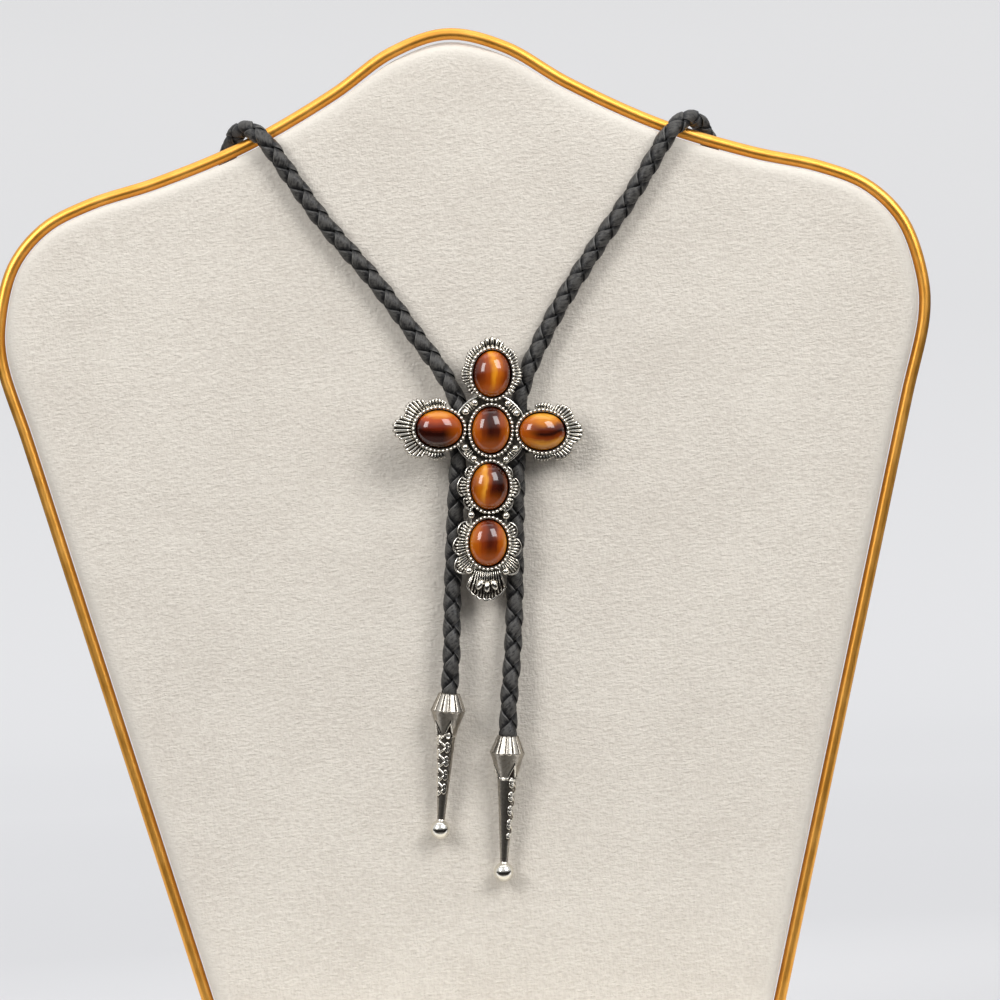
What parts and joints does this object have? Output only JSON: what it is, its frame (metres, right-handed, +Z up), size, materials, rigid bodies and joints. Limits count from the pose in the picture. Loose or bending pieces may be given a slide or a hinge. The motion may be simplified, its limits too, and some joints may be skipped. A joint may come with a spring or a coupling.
{
  "type": "bolo tie on a display stand",
  "caption": "Bolo tie: braided cord through a cross-shaped silver slide with oval stones, slender cast tips; draped over a padded bust-shaped board with a gilt rod rim and flat foot.",
  "frame": {"origin": "underside of the stand's foot, below the middle of the board", "axes": "+X to the viewer's right, +Y towards the back, +Z up; the slide faces -Y"},
  "size_m": [0.237, 0.096, 0.2724],
  "materials": {
    "gilt_metal": "polished gold-coloured plating on metal",
    "ivory_paint": "satin ivory paint on metal",
    "velvet": "off-white velveteen",
    "braided_leather": "black braided leather, slightly shiny",
    "cast_silver": "polished cast silver with darkened recesses",
    "polished_stone": "polished banded brown stone"
  },
  "bodies": {
    "root": {"rim_rod": "gilt_metal", "display_pad": "velvet", "stand_foot": "ivory_paint", "cord": "braided_leather", "slide": "cast_silver", "cord_clip": "cast_silver", "stone_centre": "polished_stone", "stone_top": "polished_stone", "stone_right": "polished_stone", "stone_left": "polished_stone", "stone_stem": "polished_stone", "stone_foot": "polished_stone", "tip_left": "cast_silver", "tip_right": "cast_silver"}
  },
  "joints": []
}
